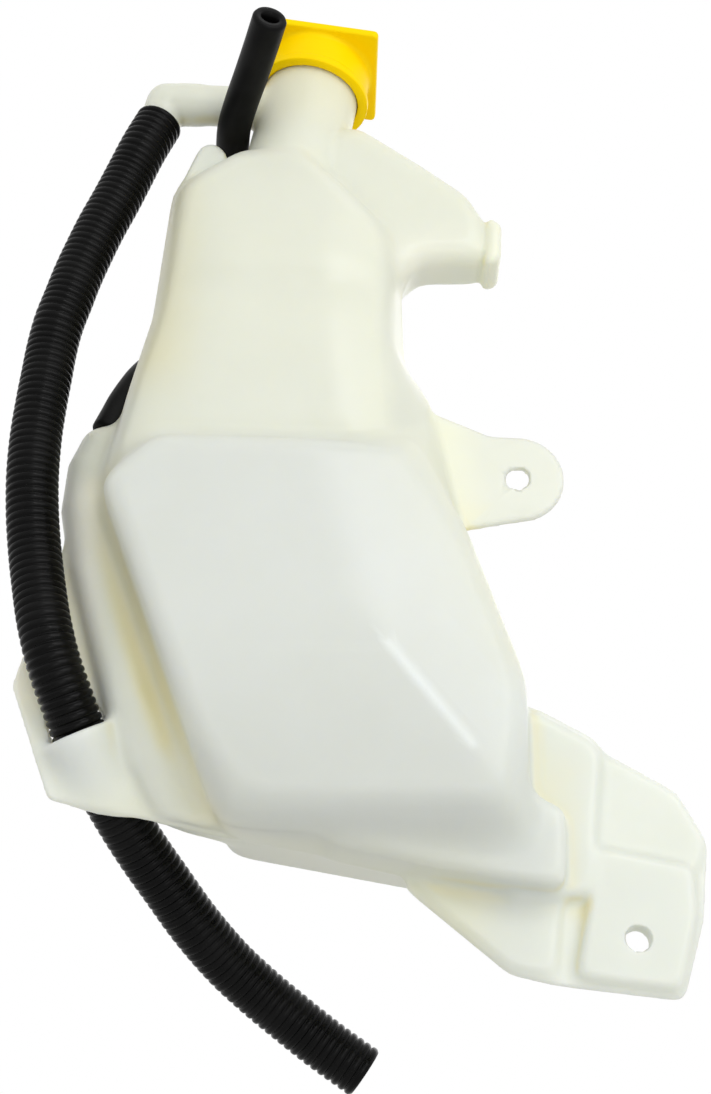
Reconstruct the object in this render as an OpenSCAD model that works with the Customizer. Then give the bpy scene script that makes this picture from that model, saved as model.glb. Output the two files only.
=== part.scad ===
/* Coolant expansion tank for a car engine bay.

   One blow-moulded hollow shell with its neck, overflow elbow, hose nipple, bolt tab and
   bolt bracket, a press-on filler cap, a smooth rubber return hose and a corrugated
   overflow hose. X runs to the right and Y to the back, +Z is up. The parting plane of the
   moulding is Y = 0, and the origin is the centre of the side tab's bolt hole on the tab's
   rear face, where the tab seats. */

/* [Shell] */
// Wall thickness of the moulding
wall = 2.5; // [2:0.1:3.2]
// Thickness of the pinched flanges, from the parting plane forward
flange_t = 3; // [2.5:0.5:4]
// Step from the flanges' rear seats forward to the ledge where the body's halves meet
seat_step = 0.4; // [0.2:0.1:0.6]
// Radius of the rounding round each moulded face
edge_r = 7; // [5:0.5:9]

/* [Main chamber] */
// Depth of the main chamber in front of the parting plane
chamber_front = 40; // [34:1:46]
// Depth of the main chamber behind the parting plane
chamber_rear = 39; // [33:1:45]
// Left side of the chamber's widest point, to the left of the origin
chamber_left = 161; // [156:1:166]
// Lowest edge of the front face, below the origin
chamber_foot = 147; // [143:1:150]

/* [Upper pod] */
// Depth of the pod in front of the parting plane
pod_front = 32; // [28:1:34]
// Depth of the pod behind the parting plane
pod_rear = 26; // [20:1:30]
// Height of the pod's roof above the origin
pod_top = 150; // [146:1:153]

/* [Neck and cap] */
// Outside diameter of the filler neck
neck_d = 40; // [38:0.5:41]
// Bore of the filler neck
neck_bore = 34; // [30:0.5:35]
// Length of the neck along its axis, above the pod's roof
neck_l = 54; // [50:1:58]
// Lean of the neck to the right, in degrees
neck_lean = 10; // [6:1:12]
// Lean of the neck to the back, in degrees
neck_tip = 6; // [3:1:8]
// Side of the cap's square grip plate
plate_w = 51; // [50:1:56]
// Thickness of the grip plate
plate_t = 3.5; // [3:0.5:5]
// Depth of the cap's skirt below the plate
skirt_h = 17; // [14:0.5:19]
// Wall of the cap's skirt
skirt_t = 2; // [1.6:0.1:2.4]
// Clearance between the cap and the neck
cap_gap = 0.4; // [0.3:0.05:0.6]

/* [Mounts] */
// Diameter of the bolt holes
bolt_d = 9; // [7:0.5:10]
// Radius of the side tab's round end
tab_r = 18; // [16:0.5:20]
// Distance of the bracket's bolt hole to the right of the origin
bracket_x = 35; // [33:0.5:38]
// Distance of the bracket's bolt hole below the origin
bracket_drop = 180; // [177:0.5:183]
// Thickness of the bracket's foot at its bolt hole
foot_t = 8; // [6:0.5:10]
// Depth of the locating arm, front to back
arm_depth = 26; // [22:1:30]

/* [Hose connections] */
// Outside diameter of the moulded overflow elbow
elbow_d = 17; // [15:0.5:18]
// Outside diameter of the corrugated overflow hose
overflow_d = 20; // [19:0.5:22]
// Outside diameter of the smooth return hose
return_d = 14; // [13:0.5:15]
// Bore of the smooth return hose
return_bore = 8; // [7:0.5:9]
// Outside diameter of the moulded side passage
passage_d = 19; // [17:0.5:21]

/* [Hidden] */
$fn = 64;

// Segments in each rounded corner of an outline, and sides of a swept tube
corner_n = 3;
tube_n = 12;

milky = [0.90, 0.92, 0.86];
yellow = [0.98, 0.82, 0.08];
rubber = [0.09, 0.09, 0.09];

// Outline tools. An outline is a counter-clockwise list of [x, z] corners.

function unit(v) = v / norm(v);
function edge(p, i) = unit(p[(i + 1) % len(p)] - p[i]);
function before(p, i) = edge(p, (i + len(p) - 1) % len(p));
function left_of(v) = [-v[1], v[0]];
// Turn at corner i in degrees, positive where the outline is convex
function turn(p, i) = let (a = before(p, i), b = edge(p, i)) atan2(cross(a, b), a * b);
// Where the line through pa along a meets the line through pb along b
function meet(pa, a, pb, b) = abs(cross(a, b)) < 0.001 ? pb : pa + a * cross(pb - pa, b) / cross(a, b);
// Outline moved inward by d
function shrink(p, d) = [for (i = [0:len(p) - 1])
    meet(p[i] + d * left_of(before(p, i)), before(p, i), p[i] + d * left_of(edge(p, i)), edge(p, i))];
// Corner i of outline p as an arc of radius r
function arc(p, i, r) = let (
    a = before(p, i), t = turn(p, i), s = sign(t),
    start = p[i] - a * r * tan(abs(t) / 2),
    centre = start + s * r * left_of(a))
    [for (k = [0:corner_n]) let (q = t * k / corner_n)
        centre - s * r * [left_of(a)[0] * cos(q) - left_of(a)[1] * sin(q),
                          left_of(a)[0] * sin(q) + left_of(a)[1] * cos(q)]];
// Outline of [x, z, r] corners, moved inward by d and rounded
function rounded(c, d = 0) = let (p = shrink([for (q = c) [q[0], q[1]]], d))
    [for (i = [0:len(c) - 1]) each arc(p, i, max(0.5, c[i][2] - sign(turn(p, i)) * d))];
// The same outline as a ring at depth y
function level(c, y, d = 0) = [for (q = rounded(c, d)) [q[0], y, q[1]]];
// Rings that round the edge of a flat face at depth y with radius e
function brow(c, y, e, d = 0) = [for (q = [0, 45, 90])
    level(c, y - sign(y) * e * (1 - sin(q)), d + e * (1 - cos(q)))];

// Closed solid through rings of equal count. With a crown the last ring closes to that point.
module skin(rings, crown = []) {
    n = len(rings[0]);
    top = (len(rings) - 1) * n;
    sides = [for (j = [0:len(rings) - 2]) for (i = [0:n - 1])
        let (a = j * n + i, b = j * n + (i + 1) % n) each [[a, a + n, b], [b, a + n, b + n]]];
    cap = len(crown) == 0 ? [[for (i = [n - 1:-1:0]) top + i]]
        : [for (i = [0:n - 1]) [top + i, top + n, top + (i + 1) % n]];
    polyhedron(concat([for (r = rings) each r], len(crown) == 0 ? [] : [crown]),
        concat([[for (i = [0:n - 1]) i]], sides, cap), convexity = 10);
}

// Swept tubes. A route is a list of [x, y, z] points, and side is never along it.

function heading(p, i) = unit(p[min(i + 1, len(p) - 1)] - p[max(i - 1, 0)]);
function ring(p, i, r, side, n) = let (t = heading(p, i), u = unit(cross(side, t)), v = cross(t, u))
    [for (k = [0:n - 1]) p[i] + r * (cos(360 * k / n) * u + sin(360 * k / n) * v)];
module tube(p, r, side, n = tube_n) {
    skin([for (i = [0:len(p) - 1]) ring(p, i, r, side, n)]);
}
// Round stub from a point along a unit direction
module stub(start, aim, l, d) {
    translate(start) rotate([0, acos(aim[2]), atan2(aim[1], aim[0])]) cylinder(h = l, d = d);
}
// Open hose as one solid: out along the outside and back along the bore
module hose(p, r, bore, side, n = tube_n) {
    m = len(p);
    pts = concat([for (i = [0:m - 1]) each ring(p, i, r, side, n)],
        [for (i = [m - 1:-1:0]) each ring(p, i, bore, side, n)]);
    total = 2 * m;
    polyhedron(pts, [for (j = [0:total - 1]) for (i = [0:n - 1])
        let (a = j * n + i, b = j * n + (i + 1) % n,
            c = ((j + 1) % total) * n + i, d = ((j + 1) % total) * n + (i + 1) % n)
        each [[a, c, b], [b, c, d]]], convexity = 10);
}

// Main chamber. Its front face is three flats that meet at one knuckle.

knuckle = [-60, -chamber_front, -77];
function front_y(x, z) = let (u = x - knuckle[0], v = z - knuckle[2]) knuckle[1]
    + max(0.048 * v, -0.04 * v, 0.15 * u + 0.085 * v);

chamber_edge = [[-113, -141, 10], [-1, -163, 10], [0, -89, 16], [-22, -23, 30],
    [-34, 30, 6], [-153, 32, 6], [-chamber_left - 3, 3, 14]];
chamber_face = [[-109, -chamber_foot, 14], [-3, -chamber_foot, 14], [-2, -93, 16], [-22, -33, 30],
    [-41, 1, 7], [-138, 4, 12], [-chamber_left + 4, -16, 9]];
chamber_back_edge = [[-112, -141, 10], [-1, -163, 10], [0, -89, 16], [-22, -23, 30], [-34, 30, 6],
    [-144, 30, 8], [-150, -6, 14]];
chamber_back = [[-110, -139, 12], [-5, -159, 12], [-6, -91, 16], [-28, -23, 30], [-38, 24, 8],
    [-138, 24, 8], [-144, -8, 14]];

// Rings from the parting plane to the front face, d inside the outer skin
function chamber_front_rings(d) = concat([level(chamber_edge, -seat_step - d, d)],
    [for (q = [0, 45, 90]) [for (p = rounded(chamber_face, d + edge_r * (1 - cos(q))))
        [p[0], front_y(p[0], p[1]) + d + edge_r * (1 - sin(q)), p[1]]]]);
module chamber(d = 0) {
    skin(chamber_front_rings(d), knuckle + [0, d, 0]);
    skin(concat([for (r = [2:-1:0]) brow(chamber_back, chamber_rear - d, edge_r, d)[r]],
        [level(chamber_back_edge, -d - 1, d)]));
}

// Upper pod

pod_edge = [[-161, -6, 8], [-34, -6, 8], [-35, 34, 8], [-43, 52, 12], [-45, 136, 14], [-62, pod_top, 10],
    [-113, pod_top, 10], [-138, pod_top - 14, 10], [-144, 72, 40], [-152, 38, 14]];
pod_shoulder = [[-157, -6, 8], [-42, -6, 8], [-43, 32, 8], [-49, 50, 12], [-51, 128, 12],
    [-66, pod_top - 8, 10], [-113, pod_top - 8, 10], [-134, pod_top - 22, 10], [-140, 68, 40],
    [-149, 34, 14]];
pod_face = [[-151, -6, 8], [-50, -6, 8], [-51, 30, 8], [-56, 48, 12], [-60, 70, 6], [-66, 78, 6],
    [-122, 78, 6], [-129, 70, 6], [-132, 52, 20], [-139, 26, 14]];
pod_back_edge = [[-144, -6, 8], [-34, -6, 8], [-35, 34, 8], [-43, 52, 12], [-45, 132, 14], [-62, 144, 10],
    [-106, 144, 10], [-122, 130, 10], [-125, 72, 40], [-130, 40, 14]];
pod_back = [[-138, -6, 8], [-40, -6, 8], [-41, 34, 8], [-49, 52, 12], [-52, 124, 12], [-66, 134, 10],
    [-102, 134, 10], [-115, 122, 10], [-118, 72, 40], [-124, 40, 14]];

shoulder_y = -20;
module pod(d = 0) {
    skin(concat([level(pod_edge, -seat_step - d, d), level(pod_shoulder, shoulder_y + d / 2, d)],
        brow(pod_face, -pod_front + d, edge_r, d)));
    skin(concat([for (r = [2:-1:0]) brow(pod_back, pod_rear - d, edge_r, d)[r]],
        [level(pod_back_edge, -d - 1, d)]));
}

// Routes of the hoses' centrelines, chosen by eye. Each starts at the shoulder of its fitting.

return_route = [[-160, 6.5, 24], [-157, 8, 32], [-154, 9.5, 40], [-149, 14, 52], [-144, 20, 62],
    [-139, 26, 72], [-136, 31, 80], [-131, 38, 92], [-126, 41, 106], [-122, 40, 119], [-118, 36, 132],
    [-116, 29, 144], [-115.5, 19, 153], [-114.5, 7, 159], [-113, -7, 162], [-109.5, -20, 164.5],
    [-105, -34, 167], [-100.5, -48, 170], [-96, -62, 174]];
overflow_route = [[-145, 0, 170], [-151, -2, 155], [-156, -2, 142], [-161, -3, 128], [-166, -4, 115],
    [-170, -5, 103], [-174, -6, 90], [-177, -7, 78], [-180, -8, 66], [-182, -8, 54], [-183, -9, 42],
    [-184, -10, 30], [-185, -11, 14], [-185, -12, -3], [-184, -12, -19], [-182, -12, -35],
    [-179, -13, -52], [-176, -14, -66], [-172, -13, -80], [-167, -9, -93], [-162, -3, -105],
    [-156, 5, -117], [-149, 14, -128], [-141, 24, -139], [-132, 34, -150], [-122, 44, -162],
    [-111, 54, -173], [-100, 61, -182], [-88, 66, -191], [-74, 71, -201], [-59, 74, -211]];

// Filler neck. The frame at its foot carries the neck, the bead, the cap and their bores.

neck_foot = [-88, 0, pod_top - 2];
neck_root = 14;
bead_h = 0.6;
bead_drop = 6;
module at_neck() {
    translate(neck_foot) rotate([-neck_tip, neck_lean, 0]) children();
}
module neck() {
    difference() {
        at_neck() {
            translate([0, 0, -neck_root]) cylinder(h = neck_l + neck_root, d = neck_d);
            translate([0, 0, neck_l - bead_drop]) rotate_extrude()
                translate([neck_d / 2 - bead_h, 0]) circle(2 * bead_h);
        }
        pod(wall + 0.2);
    }
}
module neck_hole() {
    at_neck() translate([0, 0, -neck_root - 1]) cylinder(h = neck_l + neck_root + 2, d = neck_bore);
}

// Overflow elbow from the neck, and the spigot inside the corrugated hose

across_y = [0, 1, 0];
along_x = [1, 0, 0];
spigot_aim = unit(overflow_route[1] - overflow_route[0]);
elbow_route = [[-97, 1, 175], [-112, 0, 177], [-125, 0, 179], [-134, 0, 180], [-140, 0, 178.5],
    [-143.5, 0, 175], overflow_route[0] - 2 * spigot_aim, overflow_route[0]];
spigot_l = 14;
spigot_d = 15;
spigot_wall = 1.6;
module elbow() {
    tube(elbow_route, elbow_d / 2, across_y);
}
module spigot() {
    stub(overflow_route[0] - 1.5 * spigot_aim, spigot_aim, spigot_l + 1.5, spigot_d);
}
module elbow_hole() {
    tube(concat(elbow_route, [overflow_route[0] + (spigot_l + 1) * spigot_aim]),
        spigot_d / 2 - spigot_wall, across_y);
}

// Side passage that leads the returned coolant to the foot of the chamber, and its nipple

passage_x = -chamber_left;
nipple_aim = unit(return_route[1] - return_route[0]);
nipple_foot = return_route[0] - 3 * nipple_aim;
nipple_l = 18;
nipple_d = return_bore - 0.8;
nipple_bore = 4;
passage_route = [nipple_foot, [passage_x - 4, 6, 10], [passage_x - 5, 6, -12], [passage_x, 4, -38],
    [passage_x + 8, 3, -66], [passage_x + 16, 2, -92], [passage_x + 25, 1.5, -113],
    [passage_x + 35, 1, -125], [passage_x + 50, 1, -129]];
module passage(d = 0) {
    tube(passage_route, passage_d / 2 - d, across_y);
}
module shoulder() {
    tube([nipple_foot - 2 * nipple_aim, return_route[0]], return_d / 2 + 0.5, along_x);
}
module nipple() {
    stub(return_route[0] - 1.5 * nipple_aim, nipple_aim, nipple_l - 1.5, nipple_d);
}
module nipple_hole() {
    stub(nipple_foot - 4 * nipple_aim, nipple_aim, nipple_l + 5, nipple_bore);
}

// Locating arm at the upper right, and the lip at its end

arm_edge = [[-82, 84, 2], [-46, 84, 5], [-36, 94, 6], [-9, 94, 3], [-9, 113, 5], [-18, 126, 14],
    [-58, 158, 6], [-80, 146, 2]];
arm_lip = [[-11, 91, 2], [-4, 94, 3], [-3, 111, 2], [-9, 116, 3]];
module slab(c, y0, y1, e, d = 0) {
    skin(concat([for (r = [2:-1:0]) brow(c, max(y0, y1) - d, e, d)[r]], brow(c, min(y0, y1) + d, e, d)));
}
module arm(d = 0) {
    slab(arm_edge, arm_depth / 2, -arm_depth / 2, 4, d);
}
module lip() {
    slab(arm_lip, arm_depth / 2 - 2, -arm_depth / 2 + 1, 3);
}

// Flat pinched pieces stand forward of the parting plane. Each has one rounded face.

module flat(c, t, e = 2) {
    skin(concat([level(c, 0)], brow(c, -t, e)));
}

hose_lug = [[-136, 132, 2], [-122, 132, 2], [-121, 150, 4], [-122, 158, 3], [-127, 161, 3], [-131, 156, 3]];
tab_edge = [[-44, -24, 2], [-22, -22, 2], [0, -tab_r, 2], [0, tab_r, 2], [-10, tab_r + 0.5, 12],
    [-26, 26, 4], [-44, 34, 2]];
side_flange = [[-188, -84, 10], [-172, -126, 6], [-135, -134, 4], [-106, -141, 4], [-120, -110, 2],
    [-150, -20, 4], [-168, -16, 6], [-174, -32, 6]];

// Corner of the bracket, measured from its bolt hole
function from_bolt(dx, dz, r) = [bracket_x + dx, dz - bracket_drop, r];
foot_edge = [[-46, -160, 2], from_bolt(-44, -11, 6), from_bolt(-28, -15, 4), from_bolt(15, -20, 3),
    from_bolt(24, 8, 10), from_bolt(27, 34, 14), from_bolt(17, 54, 14), from_bolt(-8, 69, 5),
    from_bolt(-11, 74, 6), [1, -93, 2], [-22, -112, 2]];
foot_box = [from_bolt(-22, -13, 4), from_bolt(14, -18, 4), from_bolt(21, 8, 8), from_bolt(21, 26, 4),
    from_bolt(-13, 33, 3), from_bolt(-9, 67, 5), from_bolt(-12, 72, 5), [2, -96, 2], [-20, -112, 1],
    [-8, -168, 2], from_bolt(-23, 16, 4)];
foot_web = [from_bolt(-13, 30, 2), from_bolt(23, 25, 3), from_bolt(26, 36, 12), from_bolt(17, 53, 14),
    from_bolt(-7, 67, 4), from_bolt(-11, 66, 2)];
foot_gusset = [[-40, -162, 3], from_bolt(-44, -9, 6), from_bolt(-29, -12, 3), from_bolt(-25, 20, 3),
    [-44, -150, 2]];

block_edge = [[-34, -156, 2], [10, -165, 4], [12, -139, 5], [0, -132, 8], [-34, -146, 2]];
block_depth = 22;
module block(d = 0) {
    skin(concat([level(block_edge, -d, d)], brow(block_edge, -block_depth + d, 4, d)));
}

// Sleeve that holds the corrugated hose against the side flange
sleeve_gap = 0.8;
sleeve_from = 20;
module hose_path(r) {
    tube([for (i = [sleeve_from - 3:sleeve_from + 5]) overflow_route[i]], r, across_y);
}
module sleeve() {
    intersection() {
        tube([for (i = [sleeve_from:sleeve_from + 3]) overflow_route[i]],
            overflow_d / 2 + sleeve_gap + wall, across_y);
        translate([-200, -40, -140]) cube([100, 40, 60]);
    }
}

module bolt_hole(x, z) {
    translate([x, 5, z]) rotate([90, 0, 0]) cylinder(h = 30, d = bolt_d);
}

// The moulded shell without its neck, at its full depth front to back
module moulding() {
    resize([0, chamber_front + chamber_rear, 0]) difference() {
        union() {
            chamber();
            pod();
            elbow();
            passage();
            shoulder();
            arm();
            lip();
            translate([0, -1, 0]) flat(hose_lug, 7, 3);
            flat(tab_edge, flange_t, 1);
            rotate([90, 0, 0]) cylinder(h = flange_t, r = tab_r);
            flat(side_flange, flange_t, 1);
            sleeve();
            flat(foot_edge, flange_t, 1);
            flat(foot_box, foot_t, 3);
            flat(foot_web, flange_t + 2, 2);
            flat(foot_gusset, flange_t + 3, 2);
            block();
        }
        chamber(wall);
        pod(wall);
        passage(wall);
        arm(wall);
        block(wall);
        hose_path(overflow_d / 2 + sleeve_gap);
    }
}

module tank() {
    color(milky) difference() {
        union() {
            moulding();
            neck();
            spigot();
            nipple();
        }
        neck_hole();
        elbow_hole();
        nipple_hole();
        bolt_hole(0, 0);
        bolt_hole(bracket_x, -bracket_drop);
    }
}

// Press-on filler cap, on the neck's axis

plug_h = 8;
band_h = 3.5;
band_t = 1.5;
module filler_cap() {
    bore_r = neck_d / 2 + bead_h + cap_gap;
    skirt_r = bore_r + skirt_t;
    plug_r = neck_bore / 2 - cap_gap;
    color(yellow) at_neck() translate([0, 0, neck_l]) {
        translate([0, 0, plate_t / 2]) cube([plate_w, plate_w, plate_t], center = true);
        difference() {
            union() {
                translate([0, 0, -skirt_h]) cylinder(h = skirt_h + 0.5, r = skirt_r);
                translate([0, 0, -skirt_h]) cylinder(h = band_h, r = skirt_r + band_t);
            }
            translate([0, 0, -skirt_h - 1]) cylinder(h = skirt_h + 1, r = bore_r);
        }
        difference() {
            translate([0, 0, -plug_h]) cylinder(h = plug_h + 0.5, r = plug_r);
            translate([0, 0, -plug_h - 1]) cylinder(h = plug_h + 1, r = plug_r - skirt_t);
        }
    }
}

overflow_bore = 16;

module return_hose() {
    color(rubber) hose(return_route, return_d / 2, return_bore / 2, along_x, 10);
}

module overflow_hose() {
    color(rubber) hose(overflow_route, overflow_d / 2, overflow_bore / 2, across_y);
}

tank();
filler_cap();
return_hose();
overflow_hose();
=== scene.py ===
"""Looks of the coolant expansion tank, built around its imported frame.

The shapes are written in millimetres, in the row frame: X to the right, Y to the back, Z up,
with the moulding's parting plane at Y = 0. Meshes and lights are made in metres.

The moulded shell and the cap are signed distances on a grid, negative inside, from which one
smooth skin is drawn. The hoses are swept tubes along the same routes as the CAD solids.
"""

import math

import bpy
import numpy as np
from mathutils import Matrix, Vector


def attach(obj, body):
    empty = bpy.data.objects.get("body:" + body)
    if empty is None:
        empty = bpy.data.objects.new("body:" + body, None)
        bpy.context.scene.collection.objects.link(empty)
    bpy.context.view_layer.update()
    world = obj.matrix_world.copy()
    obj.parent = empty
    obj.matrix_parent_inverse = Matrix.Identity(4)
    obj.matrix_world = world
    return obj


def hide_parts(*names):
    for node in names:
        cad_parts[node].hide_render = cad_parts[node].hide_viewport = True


MM = 0.001
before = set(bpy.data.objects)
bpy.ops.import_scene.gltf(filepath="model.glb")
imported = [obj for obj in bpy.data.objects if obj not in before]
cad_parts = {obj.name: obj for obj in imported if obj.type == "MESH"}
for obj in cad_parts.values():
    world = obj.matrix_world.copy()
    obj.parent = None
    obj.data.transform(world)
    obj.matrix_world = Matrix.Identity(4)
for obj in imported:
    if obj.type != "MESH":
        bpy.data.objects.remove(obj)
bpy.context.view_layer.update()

# Camera: the photograph looks up at the tank from 25 degrees below it

CAMERA_TARGET = (-62.4, 0.0, -27.9)
CAMERA_DISTANCE = 750.0
CAMERA_ELEVATION = -25.0
CAMERA_LENS, CAMERA_SENSOR = 64.96, 36  # mm, the sensor's along the image's long side


def add_camera():
    tilt = math.radians(CAMERA_ELEVATION)
    back = Vector((0, -math.cos(tilt), math.sin(tilt)))
    data = bpy.data.cameras.new("camera")
    data.sensor_width, data.lens = CAMERA_SENSOR, CAMERA_LENS
    camera = bpy.data.objects.new("camera", data)
    bpy.context.scene.collection.objects.link(camera)
    camera.location = (Vector(CAMERA_TARGET) + back * CAMERA_DISTANCE) * MM
    camera.rotation_euler = (-back).to_track_quat("-Z", "Y").to_euler()
    bpy.context.scene.camera = camera


# Hose routes, the same points as in the CAD source. Each starts at its fitting's shoulder.

RETURN_D, RETURN_BORE = 14.0, 8.0
RETURN_ROUTE = [
    (-160, 6.5, 24), (-157, 8, 32), (-154, 9.5, 40), (-149, 14, 52), (-144, 20, 62), (-139, 26, 72),
    (-136, 31, 80), (-131, 38, 92), (-126, 41, 106), (-122, 40, 119), (-118, 36, 132), (-116, 29, 144),
    (-115.5, 19, 153), (-114.5, 7, 159), (-113, -7, 162), (-109.5, -20, 164.5), (-105, -34, 167),
    (-100.5, -48, 170), (-96, -62, 174),
]  # fmt: skip
OVERFLOW_D, OVERFLOW_BORE = 20.0, 16.0
OVERFLOW_ROUTE = [
    (-145, 0, 170), (-151, -2, 155), (-156, -2, 142), (-161, -3, 128), (-166, -4, 115), (-170, -5, 103),
    (-174, -6, 90), (-177, -7, 78), (-180, -8, 66), (-182, -8, 54), (-183, -9, 42), (-184, -10, 30),
    (-185, -11, 14), (-185, -12, -3), (-184, -12, -19), (-182, -12, -35), (-179, -13, -52),
    (-176, -14, -66), (-172, -13, -80), (-167, -9, -93), (-162, -3, -105), (-156, 5, -117),
    (-149, 14, -128), (-141, 24, -139), (-132, 34, -150), (-122, 44, -162), (-111, 54, -173),
    (-100, 61, -182), (-88, 66, -191), (-74, 71, -201), (-59, 74, -211),
]  # fmt: skip
SPAN_STEPS = 24  # straight steps that stand for the curve between two points of a route
BORE_EVERY = 4  # the bore is plain, so it has one ring for this many of the outside's


def smooth_route(points, step):
    """Points every `step` mm along a smooth curve through the route, and their distances along it."""
    p = np.array(points, float)
    p = np.vstack([2 * p[0] - p[1], p, 2 * p[-1] - p[-2]])
    fine = []
    for a, b, c, d in zip(p, p[1:], p[2:], p[3:]):
        t = np.linspace(0, 1, SPAN_STEPS, endpoint=False)[:, None]
        heading, bend, twist = c - a, 2 * a - 5 * b + 4 * c - d, 3 * b - a - 3 * c + d
        fine.append(0.5 * (2 * b + heading * t + bend * t**2 + twist * t**3))
    fine = np.vstack([*fine, p[-2:-1]])
    along = np.concatenate([[0], np.cumsum(np.linalg.norm(np.diff(fine, axis=0), axis=1))])
    at = np.linspace(0, along[-1], int(round(along[-1] / step)) + 1)
    return np.stack([np.interp(at, along, fine[:, k]) for k in range(3)], 1), at


def frames(path, side):
    """Two unit vectors across the path at each point, the first square to `side`."""
    ahead = np.gradient(path, axis=0)
    ahead /= np.linalg.norm(ahead, axis=1)[:, None]
    u = np.cross(side, ahead)
    u /= np.linalg.norm(u, axis=1)[:, None]
    return u, np.cross(ahead, u)


def rings(path, u, v, radius, sides):
    """A ring of points round each point of the path. The radius is one number or one for each."""
    turn = np.linspace(0, 2 * np.pi, sides, endpoint=False)
    radius = np.broadcast_to(radius, len(path))[:, None, None]
    across = u[:, None] * np.cos(turn)[None, :, None] + v[:, None] * np.sin(turn)[None, :, None]
    return path[:, None] + radius * across


def ring_faces(count, sides):
    """Quads between rings that follow one another, and between the last ring and the first."""
    ring, side = np.arange(count)[:, None], np.arange(sides)[None, :]
    after, beside = (ring + 1) % count, (side + 1) % sides
    corners = [(ring, side), (ring, beside), (after, beside), (after, side)]
    return np.stack([j * sides + i for j, i in corners], -1).reshape(-1, 4)


def new_object(name, vertices, faces, material):
    mesh = bpy.data.meshes.new(name)
    mesh.from_pydata((np.asarray(vertices) * MM).tolist(), [], np.asarray(faces).tolist())
    mesh.update()
    mesh.polygons.foreach_set("use_smooth", [True] * len(mesh.polygons))
    mesh.materials.append(material)
    piece = bpy.data.objects.new(name, mesh)
    bpy.context.scene.collection.objects.link(piece)
    return piece


def hose(name, path, outside, bore, sides, side, material):
    """An open hose: out along the outside, over the far end, and back along the bore."""
    u, v = frames(path, side)
    out = rings(path, u, v, outside, sides)
    backward = [line[::-1][::BORE_EVERY] for line in (path, u, v)]
    inner = rings(*backward, bore, sides)
    last = rings(path[:1], u[:1], v[:1], bore, sides)
    every = np.vstack([out, inner, last])
    return new_object(name, every.reshape(-1, 3), ring_faces(len(every), sides), material)


# Signed distances on a grid


class Field:
    """Signed distance in mm on a regular grid between two corners."""

    PROBE = 0.7  # how far to each side a slope is read, in grid steps

    def __init__(self, low, high, step):
        self.low, self.step = np.array(low, float), step
        count = np.ceil((np.array(high) - self.low) / step).astype(int) + 1
        x, y, z = (self.low[k] + step * np.arange(count[k]) for k in range(3))
        self.high = np.array([x[-1], y[-1], z[-1]])
        self.x = x[:, None, None].astype(np.float32)
        self.y = y[None, :, None].astype(np.float32)
        self.z = z[None, None, :].astype(np.float32)

    def sample(self, values, points):
        """Values between grid points, by trilinear interpolation."""
        g = (points - self.low) / self.step
        cell = np.clip(np.floor(g).astype(int), 0, np.array(values.shape) - 2)
        share = np.clip(g - cell, 0, 1)
        total = 0
        for corner in np.ndindex(2, 2, 2):
            weight = np.prod(np.where(corner, share, 1 - share), axis=1)
            total = total + weight * values[tuple((cell + corner).T)]
        return total

    def slopes(self, values, points):
        """Unit gradient at each point, which is the outward normal."""
        steps = self.PROBE * self.step * np.eye(3)
        rises = [self.sample(values, points + d) - self.sample(values, points - d) for d in steps]
        slope = np.stack(rises, 1)
        return slope / np.maximum(np.linalg.norm(slope, axis=1), 1e-9)[:, None]

    def skin(self, values):
        """Surface where the values are zero: one vertex in each cell it crosses, and quads between."""
        shape = np.array(values.shape) - 1
        inside = values < 0
        total, count, quads = np.zeros((shape.prod(), 3)), np.zeros(shape.prod()), []
        for axis in range(3):
            lower, upper = [slice(None)] * 3, [slice(None)] * 3
            lower[axis], upper[axis] = slice(None, -1), slice(1, None)
            lower, upper = tuple(lower), tuple(upper)
            at = np.argwhere(inside[lower] != inside[upper])
            a, b = values[lower][tuple(at.T)], values[upper][tuple(at.T)]
            point = at.astype(float)
            point[:, axis] += a / (a - b)
            one, two = (axis + 1) % 3, (axis + 2) % 3
            around = []
            for du, dv in ((0, 0), (-1, 0), (-1, -1), (0, -1)):
                cell = at.copy()
                cell[:, one] += du
                cell[:, two] += dv
                flat = np.ravel_multi_index(tuple(cell.T), shape)
                for k in range(3):
                    total[:, k] += np.bincount(flat, point[:, k], len(total))
                count += np.bincount(flat, minlength=len(total))
                around.append(flat)
            quad = np.stack(around, 1)
            quads.append(np.where((a < 0)[:, None], quad, quad[:, ::-1]))
        used = count > 0
        number = np.cumsum(used) - 1
        vertices = self.low + self.step * total[used] / count[used][:, None]
        return vertices, number[np.vstack(quads)]


def smooth_min(a, b, reach):
    """Union with a fillet that starts `reach` mm away."""
    h = np.clip(reach - np.abs(a - b), 0, None) / reach
    return np.minimum(a, b) - h * h * reach / 4


def smooth_max(a, b, reach):
    return -smooth_min(-a, -b, reach)


def round_max(a, b, radius):
    """Both of two shapes, with their shared edge rounded to a true radius."""
    corner = np.sqrt(np.maximum(a + radius, 0) ** 2 + np.maximum(b + radius, 0) ** 2)
    return np.minimum(-radius, np.maximum(a, b)) + corner


def outline(f, points):
    """Signed distance in the XZ plane from a closed outline."""
    p = np.array(points, np.float32)
    nearest, inside = np.inf, False
    for a, b in zip(p, np.roll(p, -1, 0)):
        e = b - a
        wx, wz = f.x - a[0], f.z - a[1]
        t = np.clip((wx * e[0] + wz * e[1]) / (e @ e), 0, 1)
        nearest = np.minimum(nearest, (wx - e[0] * t) ** 2 + (wz - e[1] * t) ** 2)
        if e[1]:
            spans = (wz >= 0) != (f.z >= b[1])
            inside = inside ^ (spans & (wx < e[0] * wz / e[1]))
    return np.where(inside, -1, 1) * np.sqrt(nearest)


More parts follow.
